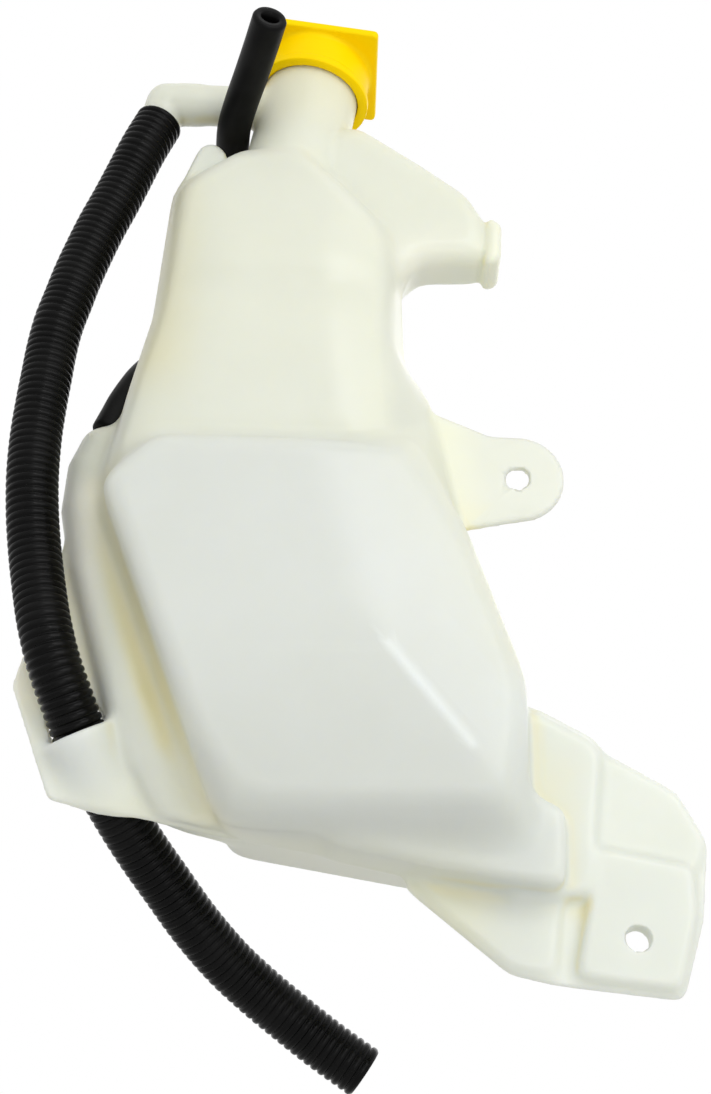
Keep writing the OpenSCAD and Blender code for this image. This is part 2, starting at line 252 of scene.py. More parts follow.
def soften(values, spread):
    """Gaussian blur over X and Z, in grid steps, which rounds corners and leaves straights."""
    reach = int(3 * spread + 1)
    k = np.exp(-0.5 * (np.arange(-reach, reach + 1) / spread) ** 2)
    k /= k.sum()
    for axis in (0, 2):
        pad = [(0, 0)] * 3
        pad[axis] = (reach, reach)
        wide = np.pad(values, pad, mode="reflect", reflect_type="odd")
        values = sum(w * np.take(wide, range(i, i + values.shape[axis]), axis) for i, w in enumerate(k))
    return values


def plate(f, points, front, back, edge, corner):
    """A slab between two depths whose outline has soft corners and whose faces have rounded edges."""
    side = soften(outline(f, points), corner)
    return round_max(side, np.maximum(front - f.y, f.y - back), edge)


def segment(f, a, b, radius):
    """A round bar from a to b, with round ends."""
    a, e = np.array(a, np.float32), np.array(b, np.float32) - np.array(a, np.float32)
    px, py, pz = f.x - a[0], f.y - a[1], f.z - a[2]
    t = np.clip((px * e[0] + py * e[1] + pz * e[2]) / (e @ e), 0, 1)
    across = (px - e[0] * t) ** 2 + (py - e[1] * t) ** 2 + (pz - e[2] * t) ** 2
    return np.sqrt(across) - radius


def bar(f, points, radius):
    """A round bar with round ends along a route."""
    nearest = np.inf
    for a, b in zip(points, points[1:]):
        nearest = np.minimum(nearest, segment(f, a, b, radius))
    return nearest


def cylinder(out, up, radius, start, end):
    """A round bar with flat ends. `out` and `up` say how far each point is from and along its axis."""
    return np.maximum(out - radius, np.maximum(start - up, up - end))


def blend(a, b, share):
    return a + (b - a) * share


def ramp(values, start, end):
    """A smooth step from 0 at start to 1 at end."""
    t = np.clip((values - start) / (end - start), 0, 1)
    return t * t * (3 - 2 * t)


# The moulded shell. Its outlines start from the CAD's, and are fitted closer to the photograph at
# the pod, the knuckle, the arm, the elbow, the passage, the block and the side flange. Its corners
# and junctions are softer than the CAD's. Corners are blurred by a number of grid steps.

TANK_BOX = (-194, -48, -208), (70, 46, 212)
TANK_STEP, TANK_QUICK_STEP, TANK_TRIANGLES = 1.25, 2.4, 190000
# The bodies' distances rise faster than 1 mm per mm near their edges, so their wall is set higher
WALL, BODY_WALL = 2.5, 3.5
FLANGE = 3.0
CUT_EDGE = 0.4  # radius of the edges where holes are cut

CHAMBER_FRONT, CHAMBER_REAR = 40.0, 39.0
CHAMBER_EDGE = [(-113, -141), (-1, -163), (0, -89), (-22, -23), (-31, 29), (-153, 32), (-164, 3)]
CHAMBER_FACE = [(-109, -147), (-3, -147), (-2, -93), (-22, -33), (-41, 1), (-138, 4), (-157, -16)]
CHAMBER_BACK_EDGE = [(-112, -141), (-1, -163), (0, -89), (-22, -23), (-34, 30), (-144, 30), (-150, -6)]
CHAMBER_BACK = [(-110, -139), (-5, -159), (-6, -91), (-28, -23), (-38, 24), (-138, 24), (-144, -8)]
CHAMBER_FACE_AT, CHAMBER_BACK_AT = 33, 32  # depths that the face and back outlines are drawn at
CHAMBER_CORNER = 3.5
# Three planes meet in the knuckle. A rise is how far a plane falls back for each mm along X or Z.
KNUCKLE = (-52.5, -81.5)
UPPER_RISE, LOWER_RISE, RIGHT_RISE = 0.023, -0.045, (0.13, 0.0566)
RIDGE_H, RIDGE_W = 0.12, 0.3  # the fine ridge down from the knuckle

POD_FRONT, POD_REAR, POD_TOP = 32.0, 26.0, 150.0
POD_EDGE = [
    (-161, -6), (-31, -6), (-32, 33), (-43, 51), (-45, 110), (-52, 120), (-66, 132), (-82, 150), (-110, 150),
    (-138, 136), (-144, 72), (-152, 38),
]  # fmt: skip
POD_SHOULDER = [
    (-157, -6), (-42, -6), (-43, 32), (-48, 50), (-48, 98), (-53, 107), (-64, 119), (-84, 142),
    (-108, 142), (-133, 125), (-140, 68), (-149, 34),
]  # fmt: skip
# Sides of the pod's flat face, drawn on upward past the slope above it
POD_FACE = [
    (-148, -6), (-50, -6), (-51, 30), (-53, 48), (-56, 78), (-58, 170), (-124, 170), (-128, 78),
    (-132, 52), (-139, 26),
]  # fmt: skip
POD_BACK_EDGE = [
    (-144, -6), (-34, -6), (-35, 34), (-43, 52), (-45, 132), (-62, 144), (-106, 144), (-122, 130),
    (-125, 72), (-130, 40),
]  # fmt: skip
POD_BACK = [
    (-138, -6), (-40, -6), (-41, 34), (-49, 52), (-52, 124), (-66, 134), (-102, 134), (-115, 122),
    (-118, 72), (-124, 40),
]  # fmt: skip
POD_SHOULDER_AT, POD_TAPER_ON = 20, 1.4  # the taper goes on in front of the shoulder
POD_BACK_AT = 20
POD_CORNER = 2.8
POD_SLOPE_FOOT, POD_SLOPE_RISE = 84.0, 9.5 / 62
POD_SINK, POD_SINK_BELOW, POD_SINK_W = 1.9, 12, 9  # a shallow dip across the face, below the slope
POD_CHAMFER, POD_CHAMFER_REACH = 1.1, 16

NECK_FOOT = np.array([-88.0, 0.0, POD_TOP - 2])
NECK_ROOT = 14  # how far the neck reaches down into the pod from its foot
NECK_L, NECK_D, NECK_BORE = 54.0, 40.0, 34.0
NECK_LEAN, NECK_TIP = math.radians(10), math.radians(6)
NECK_AXIS = np.array([
    math.sin(NECK_LEAN) * math.cos(NECK_TIP),
    math.sin(NECK_TIP),
    math.cos(NECK_LEAN) * math.cos(NECK_TIP),
])
# The snap bead is a ring that is sunk into the neck's wall, a little below the mouth
BEAD_R, BEAD_SINK, BEAD_DOWN = 1.2, 0.6, 6
ELBOW_D = 17.0
ELBOW_ROUTE = [
    (-97, 1, 176), (-112, 0, 178), (-125, 0, 178.6), (-134, 0, 179), (-140, 0, 178), (-143.5, 0, 175),
    (-145, 0, 170),
]  # fmt: skip
ELBOW_CORNER = [(-130, 0, 178.8), (-142.5, 0, 179.6)]
# A fitting's bore runs on past its tip, so that it is cut open
SPIGOT_D, SPIGOT_BORE, SPIGOT_TIP, SPIGOT_PAST = 15.0, 11.8, (-150, -1.7, 157.5), (-152, -2.3, 152)
NIPPLE_D, NIPPLE_BORE, NIPPLE_TIP, NIPPLE_PAST = 7.2, 4.0, (-156.5, 8.2, 33), (-155, 9, 37)
NIPPLE_SEAT, NIPPLE_SEAT_R = (-160.3, 6.3, 16.5), 7.5
PASSAGE_D, PASSAGE_FOOT_D, PASSAGE_END = 19.0, 18.0, 2.5
PASSAGE_ROUTE = [
    (-161, 6, 16), (-165, 5, 6), (-166, 3, -12), (-161, 0, -38), (-153, -1, -66), (-145, -2, -92),
    (-136, -1.5, -113), (-126, 0, -125), (-111, 1, -129),
]  # fmt: skip
PASSAGE_FOOT = [(-140, -1.5, -104), (-130, -1, -124), (-118, -1, -144)]

ARM_DEPTH = 26.0
ARM_EDGE = [
    (-82, 84), (-46, 84), (-36, 94), (-9, 94), (-9, 113), (-16.5, 127), (-35, 142), (-62, 162), (-80, 156),
]  # fmt: skip
ARM_LIP = [(-11, 91), (-4, 94), (-3, 111), (-9, 116)]
LUG_EDGE = [(-136, 130), (-118, 128), (-115, 144), (-116, 150), (-121, 155), (-127, 153)]
LUG_FRONT, LUG_BACK = -8, -1
TAB_R, BOLT_R = 18.0, 4.5
TAB_EDGE = [(-44, -24), (-22, -22), (0, -18), (0, 18), (-10, 18.5), (-26, 26), (-44, 34)]
SIDE_FLANGE = [
    (-188.5, -85), (-172.5, -128.5), (-105, -142.5), (-112, -110), (-150, -20), (-168, -16), (-174, -32),
]  # fmt: skip
FLANGE_LOW = (-172.5, -128.5)  # a point on the lower edge of the side flange
FLANGE_DOWN = (-0.203, -0.979)  # square to that edge
FOOT_EDGE = [
    (-46, -160), (-9, -191), (7, -195), (50, -200), (59, -172), (62, -146), (52, -126), (27, -111),
    (24, -106), (1, -93), (-22, -112),
]  # fmt: skip
FOOT_BOX = [(13, -193), (49, -198), (56, -172), (56, -154), (22, -147), (20, -160)]
FOOT_HEEL = [(26, -113), (23, -108), (2, -96), (-20, -112), (-8, -168), (20, -164), (22, -147)]
FOOT_WEB = [(22, -150), (58, -155), (61, -144), (52, -127), (28, -113), (24, -114)]
FOOT_GUSSET = [(-40, -162), (-9, -189), (6, -192), (10, -160), (-44, -150)]
FOOT_T = 8.0
BLOCK_EDGE = [(-70, -149), (-36, -158), (10, -165.5), (11, -137), (-4, -131), (-30, -130), (-70, -132)]
BLOCK_DEPTH = 22.0
BOLTS = [(0.0, 0.0), (35.0, -180.0)]
BOLT_REACH = 20  # how far a bolt hole is cut to each side of the parting plane
SLEEVE_R, SLEEVE_BORE = 13.6, 10.5
SLEEVE, SLEEVE_CUT = slice(18, 24), slice(17, 26)  # the stretches of the hose's route
# The sleeve's mouth is a flat cut, nearly square to the hose
SLEEVE_RIM, SLEEVE_AIM = (-162.5, -14.0, -107.5), (-0.38, -0.30, 0.874)


def tilted(depth, rise):
    """Distance in front of a face that leans back by `rise` for each mm along it."""
    return depth / math.hypot(1, rise)


def halves(f, front, back):
    """A front half and a back half, which overlap by 1 mm on each side of the parting plane."""
    return np.minimum(np.maximum(front, f.y - 1), np.maximum(back, -f.y - 1))


def chamber(f):
    """The main body, whose front is three sloped planes that meet in the knuckle."""
    outlines = (CHAMBER_EDGE, CHAMBER_FACE, CHAMBER_BACK_EDGE, CHAMBER_BACK)
    edge, face, rear_edge, rear = (soften(outline(f, points), CHAMBER_CORNER) for points in outlines)
    u, v = f.x - KNUCKLE[0], f.z - KNUCKLE[1]
    upper, lower, right = UPPER_RISE * v, LOWER_RISE * v, RIGHT_RISE[0] * u + RIGHT_RISE[1] * v
    crease = 0.35 + 1.2 * ramp(v, -5, 25)  # sharp below the knuckle and soft above it
    rise = smooth_max(smooth_max(upper, lower, 1.0), right, crease)
    starts, ends = np.clip((u + 2) / 8, 0, 1), np.clip((36 - u) / 10, 0, 1)
    ridge = RIDGE_H * np.exp(-(((right - lower) / RIDGE_W) ** 2)) * starts * ends
    radius = 9 + 7 * ramp(f.z, -105, -150)
    side = blend(edge, face, np.clip(-f.y / CHAMBER_FACE_AT, 0, 1))
    front = round_max(side, -CHAMBER_FRONT + rise - ridge - f.y, radius)
    side = blend(rear_edge, rear, np.clip(f.y / CHAMBER_BACK_AT, 0, 1))
    return halves(f, front, round_max(side, f.y - CHAMBER_REAR, 8))


def pod(f):
    """The upper body: a flat face with a slope above it, chamfered sides and a plain back."""
    outlines = (POD_EDGE, POD_SHOULDER, POD_FACE, POD_BACK_EDGE, POD_BACK)
    drawn = (soften(outline(f, points), POD_CORNER) for points in outlines)
    edge, shoulder, face, rear_edge, rear = drawn
    ahead = -POD_FRONT - f.y
    sunk = POD_SINK * np.exp(-(((f.z - POD_SLOPE_FOOT + POD_SINK_BELOW) / POD_SINK_W) ** 2))
    slope = tilted(ahead + (f.z - POD_SLOPE_FOOT) * POD_SLOPE_RISE, POD_SLOPE_RISE)
    flat = smooth_max(ahead + sunk, slope, 2.5)
    chamfer = tilted(ahead + POD_CHAMFER * face, POD_CHAMFER)
    front = smooth_max(flat, chamfer, POD_CHAMFER_REACH)
    side = blend(edge, shoulder, np.clip(-f.y / POD_SHOULDER_AT, 0, POD_TAPER_ON))
    front = round_max(side, front, 6)
    side = blend(rear_edge, rear, np.clip(f.y / POD_BACK_AT, 0, 1))
    return halves(f, front, round_max(side, f.y - POD_REAR, 7))


def about_neck(f):
    """How far each point is out from the neck's axis, and how far up along it."""
    px, py, pz = f.x - NECK_FOOT[0], f.y - NECK_FOOT[1], f.z - NECK_FOOT[2]
    up = px * NECK_AXIS[0] + py * NECK_AXIS[1] + pz * NECK_AXIS[2]
    return np.sqrt(np.maximum(px**2 + py**2 + pz**2 - up**2, 0)), up


def fittings(f, solid, elbow):
    """The neck and its bead, the elbow and its spigot, the nipple and the arm's lip, on the solid."""
    out, up = about_neck(f)
    solid = smooth_min(solid, cylinder(out, up, NECK_D / 2, -NECK_ROOT, NECK_L), 3)
    bead = np.sqrt((out - NECK_D / 2 + BEAD_SINK) ** 2 + (up - NECK_L + BEAD_DOWN) ** 2) - BEAD_R
    solid = smooth_min(np.minimum(solid, bead), elbow, 4)
    solid = np.minimum(solid, segment(f, ELBOW_ROUTE[-1], SPIGOT_TIP, SPIGOT_D / 2))
    solid = np.minimum(solid, segment(f, RETURN_ROUTE[0], NIPPLE_TIP, NIPPLE_D / 2))
    solid = smooth_min(solid, segment(f, PASSAGE_ROUTE[0], NIPPLE_SEAT, NIPPLE_SEAT_R), 3)
    lip = plate(f, ARM_LIP, -ARM_DEPTH / 2 + 0.5, ARM_DEPTH / 2 - 2, 3.0, 1.2)
    return smooth_min(solid, lip, 3)


def tab(f):
    """The side tab, a tongue with a round end."""
    tongue = np.minimum(outline(f, TAB_EDGE), np.sqrt(f.x**2 + f.z**2) - TAB_R)
    return round_max(soften(tongue, 1.0), np.maximum(-FLANGE - f.y, f.y), 1.0)


def flanges(f):
    """The other pinched plastic: the side flange, the foot with its raised parts, and the lug."""
    side = plate(f, SIDE_FLANGE, -FLANGE, 0, 1.2, 1.0)
    thin = smooth_min(side, plate(f, FOOT_EDGE, -FLANGE, 0, 0.9, 1.6), 1)
    for points, depth, edge, corner, fillet in (
        (FOOT_BOX, FOOT_T, 2.8, 1.8, 4),
        (FOOT_HEEL, FOOT_T + 0.5, 3.2, 2.0, 5),
        (FOOT_WEB, FLANGE + 1.5, 1.8, 1.8, 3),
        (FOOT_GUSSET, FLANGE + 2.5, 2.4, 1.8, 4),
    ):
        thin = smooth_min(thin, plate(f, points, -depth, 0, edge, corner), fillet)
    return smooth_min(thin, plate(f, LUG_EDGE, LUG_FRONT, LUG_BACK, 2.8, 1.6), 2)


def sleeve(f, low):
    """The sleeve round the hose, in front of the parting plane and above the flange's lower edge."""
    rim = (f.x - SLEEVE_RIM[0]) * SLEEVE_AIM[0] + (f.y - SLEEVE_RIM[1]) * SLEEVE_AIM[1]
    rim = rim + (f.z - SLEEVE_RIM[2]) * SLEEVE_AIM[2]
    ends = smooth_max(rim, np.maximum(f.y, low), 1)
    return round_max(bar(f, OVERFLOW_ROUTE[SLEEVE], SLEEVE_R), ends, 1.4)


def openings(f, hollow, passage, elbow):
    """The space inside, the bores that lead out of it, the sleeve's bore and the bolt holes."""
    cavity = np.minimum(hollow + BODY_WALL, smooth_min(passage, elbow, 1) + WALL)
    out, up = about_neck(f)
    holes = smooth_min(cavity, cylinder(out, up, NECK_BORE / 2, -3, NECK_L + 2), 1)
    holes = np.minimum(holes, segment(f, ELBOW_ROUTE[-1], SPIGOT_PAST, SPIGOT_BORE / 2))
    holes = np.minimum(holes, segment(f, PASSAGE_ROUTE[0], NIPPLE_PAST, NIPPLE_BORE / 2))
    holes = np.minimum(holes, bar(f, OVERFLOW_ROUTE[SLEEVE_CUT], SLEEVE_BORE))
    for x, z in BOLTS:
        out = np.sqrt((f.x - x) ** 2 + (f.z - z) ** 2)
        holes = np.minimum(holes, np.maximum(out - BOLT_R, np.abs(f.y) - BOLT_REACH))
    return holes


def shell(f):
    """The whole moulding, and apart from it what is cut out of it."""
    hollow = smooth_min(chamber(f), pod(f), 4)
    hollow = smooth_min(hollow, plate(f, ARM_EDGE, -ARM_DEPTH / 2, ARM_DEPTH / 2, 8, 2.6), 5)
    hollow = smooth_min(hollow, plate(f, BLOCK_EDGE, -BLOCK_DEPTH, 1, 4, 2.4), 8)
    elbow = smooth_min(bar(f, ELBOW_ROUTE, ELBOW_D / 2), bar(f, ELBOW_CORNER, ELBOW_D / 2), 2)
    passage = np.minimum(bar(f, PASSAGE_ROUTE, PASSAGE_D / 2), bar(f, PASSAGE_FOOT, PASSAGE_FOOT_D / 2))
    low = (f.x - FLANGE_LOW[0]) * FLANGE_DOWN[0] + (f.z - FLANGE_LOW[1]) * FLANGE_DOWN[1]
    passage = round_max(passage, low, PASSAGE_END)
    fillet = 7 + 8 * np.clip((20 - f.z) / 40, 0, 1)  # wider lower down
    solid = round_max(smooth_min(hollow, passage, fillet), low, PASSAGE_END)
    solid = fittings(f, np.minimum(hollow, solid), elbow)
    solid = smooth_min(solid, tab(f), 3)
    solid = smooth_min(solid, flanges(f), 3)
    solid = smooth_min(solid, sleeve(f, low), 6)
    return solid, openings(f, hollow, passage, elbow)


def tank(material):
    f = Field(*TANK_BOX, TANK_STEP)
    outer, holes = (part.astype(np.float32) for part in shell(f))
    vertices, quads = f.skin(round_max(outer, -holes, CUT_EDGE))
    piece = new_object("tank_shell", vertices, quads, material)
    thin_out(piece, vertices, TANK_TRIANGLES / (2 * len(quads)))
    settle(piece.data, f, outer, holes)
    return piece


def thin_out(piece, vertices, share):
    """Keeps this share of the triangles, and every vertex beside a bolt hole, so that it stays round."""
    beside = [np.hypot(vertices[:, 0] - x, vertices[:, 2] - z) < BOLT_R + 3 for x, z in BOLTS]
    thinned = piece.vertex_groups.new(name="thinned")
    thinned.add(np.flatnonzero(~np.logical_or(*beside)).tolist(), 1.0, "REPLACE")
    fewer = piece.modifiers.new("fewer", "DECIMATE")
    fewer.vertex_group = "thinned"
    fewer.ratio = share
    with bpy.context.temp_override(object=piece, active_object=piece, selected_objects=[piece]):
        bpy.ops.object.modifier_apply(modifier="fewer")
    piece.vertex_groups.clear()


def triples(items, name, kind=float):
    """A property that has three numbers for each item, as an array."""
    values = np.empty(len(items) * 3, kind)
    items.foreach_get(name, values)
    return values.reshape(-1, 3)


def settle(mesh, f, outer, holes):
    """Moves the vertices onto the true surface, and gives them its normals and their colours."""
    points = triples(mesh.vertices, "co") / MM
    bound, hollow = f.sample(outer, points), -f.sample(holes, points)
    outside = bound >= hollow
    normals = np.where(outside[:, None], f.slopes(outer, points), -f.slopes(holes, points))
    drawn = triples(mesh.vertex_normals, "vector")
    agree = np.sum(drawn * normals, axis=1)[:, None] > 0.5
    normals = np.where(agree, normals, drawn)
    away = np.where(outside, bound, hollow)[:, None].clip(-0.5, 0.5)
    points -= np.where(agree, away, 0) * normals
    mesh.calc_loop_triangles()
    faces = triples(mesh.loop_triangles, "vertices", int)
    points = unfold(points, faces, normals)
    mesh.vertices.foreach_set("co", (points * MM).ravel())
    mesh.update()
    turned = folded(points, faces, normals, 0.3)
    normals[turned] = triples(mesh.vertex_normals, "vector")[turned]
    tint(mesh, points, closed_in(f, outer, points, normals, outside))
    mesh.normals_split_custom_set_from_vertices(normals.tolist())


def folded(points, faces, normals, limit):
    """Corners of the triangles that turn from a vertex's normal: the cosine is below the limit."""
    a, b, c = (points[faces[:, k]] for k in range(3))
    across = np.cross(b - a, c - a)
    across /= np.maximum(np.linalg.norm(across, axis=1), 1e-9)[:, None]
    worst = np.min([np.sum(across * normals[faces[:, k]], axis=1) for k in range(3)], axis=0)
    return np.unique(faces[worst < limit])


def unfold(points, faces, normals):
    """Moves the corners of folded slivers to the middle of their neighbours."""
    starts = np.vstack([faces, faces[:, ::-1]]).ravel()
    ends = np.vstack([faces[:, [1, 2, 0]], faces[:, [1, 0, 2]]]).ravel()
    count = np.bincount(starts, minlength=len(points))
    for _ in range(4):
        bad = folded(points, faces, normals, 0.1)
        middle = np.stack([np.bincount(starts, points[ends, k], len(points)) for k in range(3)], 1)
        points[bad] = middle[bad] / count[bad][:, None]
    return points


def closed_in(f, outer, points, normals, outside):
    """How far the shape round each vertex closes it in, from 0 to 1. Inside the tank it is 0.2."""
    closed = np.zeros(len(points))
    for reach, weight in ((5, 0.3), (12, 0.35), (26, 0.35)):
        at = points + reach * normals
        kept = np.clip(at, f.low, f.high)
        away = f.sample(outer, kept) + np.linalg.norm(at - kept, axis=1)
        closed += weight * np.clip(1 - away / reach, 0, 1)
    return np.where(outside, closed, 0.2)


# The plastic is cream where the wall is thick, whiter where blowing has stretched or pinched it
# thin, and amber painted shade in the grooves, beside the pad's left wall and on the pod's left side.
# Painted light brightens it under the arm and beside the hose, and a painted highlight runs down
# the pad's ridge

CREAM, NECK_CREAM, AMBER_SHADE = (0.755, 0.77, 0.64), (0.785, 0.77, 0.575), (0.80, 0.745, 0.46)
MILKY, THIN = (0.68, 0.705, 0.655), (0.725, 0.755, 0.70)
# A painted highlight colour for the pad's ridge, and a painted light colour for under the arm and beside the
# hose
RIDGE_HIGHLIGHT, PAINTED_LIGHT = (0.80, 0.84, 0.80), (0.90, 0.88, 0.74)
RIDGE_HIGHLIGHT_LINE = (np.array([-51.0, -40.0, -83.5]), np.array([-22.5, -38.0, -120.0]))
# The line beside the pad's left wall along which amber shade is painted
PAD_WALL_SHADE = (np.array([-160.0, -19.0, -10.0]), np.array([-112.0, -19.0, -138.0]))
# Places that are coloured apart: a centre and a reach along each axis
POCKET = (-166, -8, -112), (24, 40, 30)
LUG = (-121, -6, 147), (13, 20, 13)
# Painted light under the arm
UNDER_ARM_LIGHT = (-36, -6, 92), (14, 20, 14)


def spot(points, centre, reach):
    """1 at the centre, falling off smoothly over the reach."""
    return np.exp(-np.sum(((points - np.array(centre)) / np.array(reach)) ** 2, axis=1))


def near_line(points, line, reach):
    """How near each point is to a line, from 0 to 1, and how far along the line, from 0 to 1."""
    along = line[1] - line[0]
    share = np.clip((points - line[0]) @ along / (along @ along), 0, 1)
    beside = np.linalg.norm(points - line[0] - share[:, None] * along, axis=1)
    return np.exp(-((beside / reach) ** 2)), share


def paint(colour, over, share):
    """The colours with another one laid over them, by a share for each vertex."""
    return blend(colour, np.array(over), share[:, None])


def tint(mesh, points, closed):
    """Stores the plastic's colour at each vertex, with painted shade, painted light and a painted highlight
    laid over it.
    """
    x, y, z = points.T
    proud = np.maximum(ramp(y, -29, -39), ramp(y, -6, -34) * ramp(z, -95, -125)) * ramp(z, 60, 10)
    bracket = ramp(x, -30, -6) * ramp(z, -80, -105)
    tongue = ramp(x, -30, -8) * ramp(abs(z), 50, 30)
    pocket, lug = spot(points, *POCKET), spot(points, *LUG)
    thin = 1 - (1 - bracket) * (1 - 0.8 * tongue) * (1 - pocket) * (1 - 0.8 * lug)
    light_under_arm = spot(points, *UNDER_ARM_LIGHT)
    colour = paint(np.array(CREAM), NECK_CREAM, ramp(z, 140, 175) * ramp(x, -112, -104))
    colour = paint(colour, MILKY, proud)
    colour = paint(colour, THIN, thin)
    # Painted amber shade on the pod's left side, and in the grooves by how closed in each vertex is
    left_side_shade = 0.6 * ramp(x, -116, -142) * ramp(z, 15, 45) * ramp(z, 142, 128)
    groove_shade = ramp(closed * (1 - 0.8 * light_under_arm), 0.28, 0.7) * (1 - 0.35 * np.maximum(proud, thin))
    colour = paint(colour, AMBER_SHADE, np.maximum(left_side_shade, groove_shade))
    # Painted shade: the pad darkens towards its bottom and the lowest part left of the foot box darkens; the
    # tab is 8 % darker
    light = 1 - 0.07 * proud * ramp(z, -60, -140) - 0.08 * tongue
    light = light - 0.07 * ramp(z, -120, -150) * ramp(x, 14, -10)
    colour = colour * light[:, None]
    # Painted light: brightened beside the hose, where the hose shades the tank
    light_beside_hose = ramp(x, -152, -162) * ramp(z, -98, -85) * ramp(z, 5, -10) * ramp(y, -14, -8)
    colour = paint(colour, PAINTED_LIGHT, 0.7 * light_beside_hose)
    # Painted light under the arm
    colour = paint(colour, PAINTED_LIGHT, 0.6 * light_under_arm)
    # Painted amber shade along the pad's left wall
    colour = paint(colour, AMBER_SHADE, 0.55 * near_line(points, PAD_WALL_SHADE, 9.0)[0])
    # Painted highlight: a white line down the pad's ridge, fading along it
    ridge, share = near_line(points, RIDGE_HIGHLIGHT_LINE, 1.9)
    colour = paint(colour, RIDGE_HIGHLIGHT, ridge * (1 - 0.3 * share))
    layer = mesh.color_attributes.new("tint", "FLOAT_COLOR", "POINT")
    layer.data.foreach_set("color", np.hstack([colour, np.ones((len(colour), 1))]).ravel())


# Materials

FINE_DEPTH = 0.0001  # metres, the depth of fine grain


def new_material(name):
    """A material, its shader, and how to add nodes to it and link them."""
    made = bpy.data.materials.new(name)
    made.use_nodes = True
    nodes = made.node_tree.nodes
    shader = nodes["Principled BSDF"]

    def add(kind, **values):
        """A node. A name that starts with _ is one of its settings, and any other an input."""
        node = nodes.new(kind)
        for key, value in values.items():
            if key.startswith("_"):
                setattr(node, key[1:], value)
            else:
                node.inputs[key.replace("_", " ")].default_value = value
        return node

    def link(a, b):
        made.node_tree.links.new(a, b)

    return made, shader, add, link


def noise(add, link, place, **values):
    made = add("ShaderNodeTexNoise", **values)
    link(place, made.inputs["Vector"])
    return made


def tones(add, low, high, start=0.0, end=1.0):
    """A node that gives the low colour up to start and the high one from end on."""
    made = add("ShaderNodeValToRGB")
    for element, position, tone in zip(made.color_ramp.elements, (start, end), (low, high)):
        element.position, element.color = position, (*tone, 1)
    return made


def bumps(add, link, height, strength, depth):
    made = add("ShaderNodeBump", Strength=strength, Distance=depth)
    link(height.outputs["Fac"], made.inputs["Height"])
    return made


def milky_plastic():
    made, shader, add, link = new_material("milky_plastic")
    place = add("ShaderNodeTexCoord").outputs["Object"]
    # Vertex colours: the plastic's colour with painted shade, painted light and a painted highlight
    tint_and_painted_light = add("ShaderNodeVertexColor", _layer_name="tint").outputs["Color"]
    cloud = noise(add, link, place, Scale=22.0, Detail=3.0, Roughness=0.5)
    shade = tones(add, (0.95, 0.95, 0.93), (1, 1, 1), 0.35, 0.65)
    link(cloud.outputs["Fac"], shade.inputs["Fac"])
    mottled = add("ShaderNodeMixRGB", _blend_type="MULTIPLY", Fac=0.5)
    link(tint_and_painted_light, mottled.inputs["Color1"])
    link(shade.outputs["Color"], mottled.inputs["Color2"])
    link(mottled.outputs["Color"], shader.inputs["Base Color"])
    waves = bumps(add, link, noise(add, link, place, Scale=60.0, Detail=1.0), 0.25, 0.0006)
    grain = bumps(add, link, noise(add, link, place, Scale=900.0, Detail=2.0), 0.12, FINE_DEPTH)
    link(waves.outputs["Normal"], grain.inputs["Normal"])
    link(grain.outputs["Normal"], shader.inputs["Normal"])
    shader.inputs["Roughness"].default_value = 0.42
    shader.inputs["Coat Weight"].default_value = 0.12
    shader.inputs["Coat Roughness"].default_value = 0.2
    shader.inputs["Subsurface Weight"].default_value = 0.6
    shader.inputs["Subsurface Radius"].default_value = (1.0, 0.9, 0.65)
    shader.inputs["Subsurface Scale"].default_value = 0.009
    return made


def yellow_plastic():
    made, shader, add, link = new_material("yellow_plastic")
    place = add("ShaderNodeTexCoord").outputs["Object"]
    shade = tones(add, (1.0, 0.66, 0.0), (1.0, 0.72, 0.001))
    link(noise(add, link, place, Scale=40.0, Detail=2.0).outputs["Fac"], shade.inputs["Fac"])
    link(shade.outputs["Color"], shader.inputs["Base Color"])
    grain = bumps(add, link, noise(add, link, place, Scale=1400.0, Detail=2.0), 0.1, FINE_DEPTH)
    link(grain.outputs["Normal"], shader.inputs["Normal"])
    shader.inputs["Roughness"].default_value = 0.38
    shader.inputs["Specular IOR Level"].default_value = 0.05
    return made


def rubber(name, roughness, grain_scale, dust):
    """Black rubber, with a little dust in patches and a roughness that varies by 0.08."""
    made, shader, add, link = new_material(name)
    place = add("ShaderNodeTexCoord").outputs["Object"]
    cloud = noise(add, link, place, Scale=55.0, Detail=4.0)
    shade = tones(add, (0.002, 0.002, 0.002), (dust, dust, dust * 0.98), 0.4, 0.8)
    link(cloud.outputs["Fac"], shade.inputs["Fac"])
    link(shade.outputs["Color"], shader.inputs["Base Color"])
    low, high = roughness - 0.08, roughness + 0.08
    rough = add("ShaderNodeMapRange", From_Min=0.3, From_Max=0.7, To_Min=low, To_Max=high)
    link(cloud.outputs["Fac"], rough.inputs["Value"])
    link(rough.outputs["Result"], shader.inputs["Roughness"])
    grain = bumps(add, link, noise(add, link, place, Scale=grain_scale, Detail=3.0), 0.2, FINE_DEPTH)
    link(grain.outputs["Normal"], shader.inputs["Normal"])
    shader.inputs["Specular IOR Level"].default_value = 0.10
    return made


# Filler cap, drawn in its own frame: Z along the neck from the plate's underside

CAP_BOX = (-29, -29, -20), (29, 29, 7)
CAP_STEP, CAP_QUICK_STEP = 0.6, 1.0
PLATE_W, PLATE_T, PLATE_CORNER, PLATE_EDGE = 51.0, 3.5, 2.2, 0.8
SKIRT_H, SKIRT_T, BAND_H, BAND_T = 17.0, 2.0, 3.5, 1.5
CAP_GAP, BEAD_H, SNAP_GAP, SNAP_H, PLUG_H = 0.4, 0.6, 0.3, 2.0, 8.0


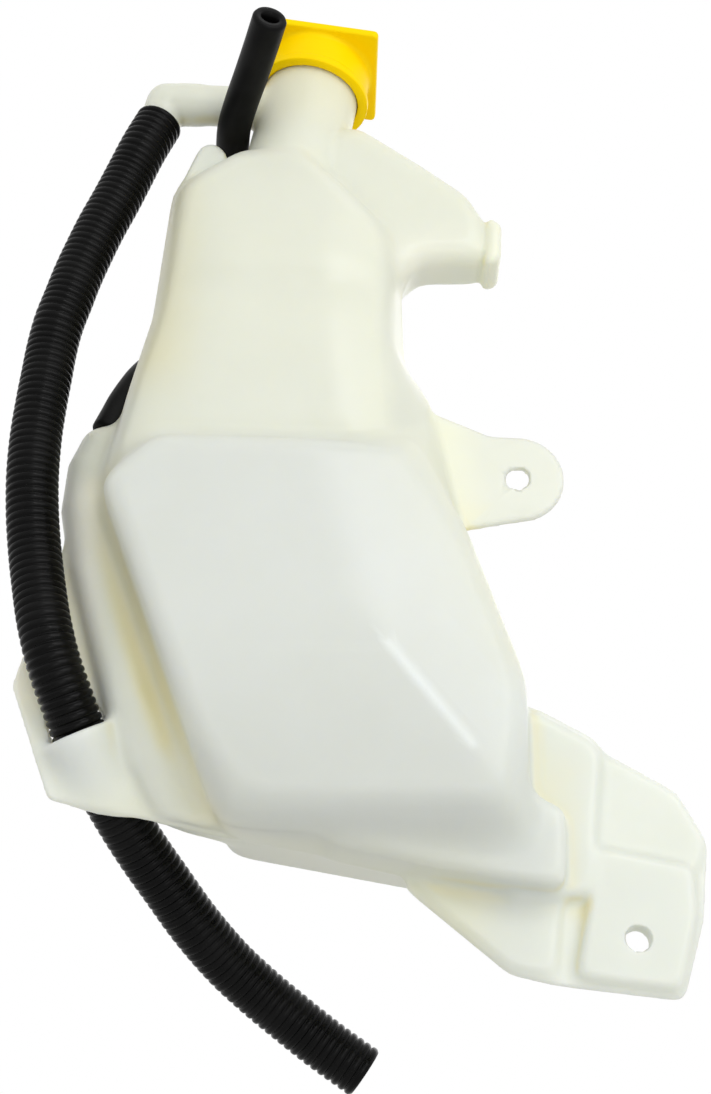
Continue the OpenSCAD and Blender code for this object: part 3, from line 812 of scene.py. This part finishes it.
def cap(material):
    """A square plate on a skirt, with a band outside it and a snap ring and a plug ring inside."""
    f = Field(*CAP_BOX, CAP_STEP)
    r = np.sqrt(f.x**2 + f.y**2)
    bore = NECK_D / 2 + BEAD_H + CAP_GAP
    skirt = bore + SKIRT_T
    square = round_max(np.abs(f.x) - PLATE_W / 2, np.abs(f.y) - PLATE_W / 2, PLATE_CORNER)
    top = round_max(square, np.maximum(-f.z, f.z - PLATE_T), PLATE_EDGE)
    solid = smooth_min(top, cylinder(r, f.z, skirt, -SKIRT_H, 1), 2.5)
    solid = smooth_min(solid, cylinder(r, f.z, skirt + BAND_T, -SKIRT_H, BAND_H - SKIRT_H), 1.5)
    hollow = np.maximum(r - bore, f.z)
    snap = cylinder(r, f.z, skirt, -SKIRT_H, SNAP_H - SKIRT_H)
    snap = np.maximum(snap, NECK_D / 2 + SNAP_GAP - r)
    solid = smooth_min(round_max(solid, -hollow, CUT_EDGE), snap, 0.6)
    plug = np.abs(r - NECK_BORE / 2 + CAP_GAP + SKIRT_T / 2)  # from the middle of the ring's wall
    solid = np.minimum(solid, cylinder(plug, f.z, SKIRT_T / 2, -PLUG_H, 0.5))
    values = solid.astype(np.float32)
    vertices, quads = f.skin(values)
    normals = f.slopes(values, vertices)
    turn = neck_frame()
    place = NECK_FOOT + NECK_L * NECK_AXIS
    piece = new_object("cap_moulding", vertices @ turn.T + place, quads, material)
    piece.data.normals_split_custom_set_from_vertices((normals @ turn.T).tolist())
    return piece


def neck_frame():
    """Rotation of the neck and cap: tipped back about X, then leant right about Y."""
    c, s = math.cos(-NECK_TIP), math.sin(-NECK_TIP)
    tip = np.array([[1, 0, 0], [0, c, -s], [0, s, c]])
    c, s = math.cos(NECK_LEAN), math.sin(NECK_LEAN)
    return np.array([[c, 0, s], [0, 1, 0], [-s, 0, c]]) @ tip


# Hoses

PITCH, GROOVE, RIB_FULLNESS = 3.05, 1.15, 3.2  # a fuller rib leaves a narrower groove
RIB_STEPS = 8
SMOOTH_STEP, END_DROP, END_LENGTH = 1.0, 0.6, 1.2  # the smooth hose's ends are rounded


def corrugated_hose(material):
    path, at = smooth_route(OVERFLOW_ROUTE, PITCH / RIB_STEPS)
    depth = 2 * np.abs((at / PITCH) % 1 - 0.5)
    radius = OVERFLOW_D / 2 - GROOVE * depth**RIB_FULLNESS
    piece = hose("overflow_hose_tube", path, radius, OVERFLOW_BORE / 2, 32, (0, 1, 0), material)
    return piece, path


def smooth_hose(material):
    path, at = smooth_route(RETURN_ROUTE, SMOOTH_STEP)
    to_end = np.minimum(at, at[-1] - at)
    radius = RETURN_D / 2 - END_DROP * np.clip(1 - to_end / END_LENGTH, 0, 1) ** 2
    piece = hose("return_hose_tube", path, radius, RETURN_BORE / 2, 40, (1, 0, 0), material)
    return piece, path


# Studio, in metres

WORLD_COLOUR, WORLD_STRENGTH = (1.0, 0.997, 0.985, 1), 0.75
LAMPS = (  # name, place, width and watts
    ("key", (0.75, -1.2, 0.45), 0.9, 5.7),
    ("fill", (0.1, -1.0, -0.27), 0.4, 1.0),
    ("glint", (0.16, -1.12, 0.60), 0.25, 1.8),
    ("back", (0.5, 1.2, 0.6), 0.8, 2.0),
)
FLOOR_Z, FLOOR_REACH = -0.5, 4


def studio():
    """A soft world that the camera, gloss and glass see as white, and four lamps."""
    scene = bpy.context.scene
    scene.view_settings.view_transform = "Standard"
    world = bpy.data.worlds.new("world")
    scene.world = world
    world.use_nodes = True
    nodes, links = world.node_tree.nodes, world.node_tree.links
    light = nodes["Background"]
    light.inputs["Color"].default_value = WORLD_COLOUR
    light.inputs["Strength"].default_value = WORLD_STRENGTH
    white = nodes.new("ShaderNodeBackground")
    white.inputs["Color"].default_value = (1, 1, 1, 1)
    path = nodes.new("ShaderNodeLightPath")
    seen = path.outputs["Is Camera Ray"]
    for ray in ("Is Glossy Ray", "Is Transmission Ray"):
        either = nodes.new("ShaderNodeMath")
        either.operation = "MAXIMUM"
        links.new(seen, either.inputs[0])
        links.new(path.outputs[ray], either.inputs[1])
        seen = either.outputs[0]
    mix = nodes.new("ShaderNodeMixShader")
    links.new(seen, mix.inputs["Fac"])
    links.new(light.outputs[0], mix.inputs[1])
    links.new(white.outputs[0], mix.inputs[2])
    links.new(mix.outputs[0], nodes["World Output"].inputs["Surface"])
    target = Vector(CAMERA_TARGET) * MM
    for name, place, size, power in LAMPS:
        data = bpy.data.lights.new(name, "AREA")
        data.size, data.energy = size, power
        lamp = bpy.data.objects.new(name, data)
        scene.collection.objects.link(lamp)
        lamp.location = place
        lamp.rotation_euler = (target - lamp.location).to_track_quat("-Z", "Y").to_euler()


def floor():
    """A pale floor under the part, below the camera as well."""
    corners = [(-1, -1), (1, -1), (1, 1), (-1, 1)]
    mesh = bpy.data.meshes.new("floor")
    vertices = [(x * FLOOR_REACH, y * FLOOR_REACH, FLOOR_Z) for x, y in corners]
    mesh.from_pydata(vertices, [], [(0, 1, 2, 3)])
    piece = bpy.data.objects.new("floor", mesh)
    bpy.context.scene.collection.objects.link(piece)
    made, shader, add, link = new_material("floor")
    cloud = add("ShaderNodeTexNoise", Scale=3.0, Detail=3.0)
    shade = tones(add, (0.80, 0.80, 0.80), (0.84, 0.84, 0.84))
    link(cloud.outputs["Fac"], shade.inputs["Fac"])
    link(shade.outputs["Color"], shader.inputs["Base Color"])
    shader.inputs["Roughness"].default_value = 0.9
    mesh.materials.append(made)


add_camera()
studio()
floor()

overflow, overflow_path = corrugated_hose(rubber("corrugated_rubber", 0.28, 700.0, 0.006))
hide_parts("overflow_hose")
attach(overflow, "shell")

outlet, outlet_path = smooth_hose(rubber("smooth_rubber", 0.45, 500.0, 0.010))
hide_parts("return_hose")
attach(outlet, "shell")

body = tank(milky_plastic())
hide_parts("tank")
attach(body, "shell")

lid = cap(yellow_plastic())
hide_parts("filler_cap")
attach(lid, "cap")

bpy.context.view_layer.update()
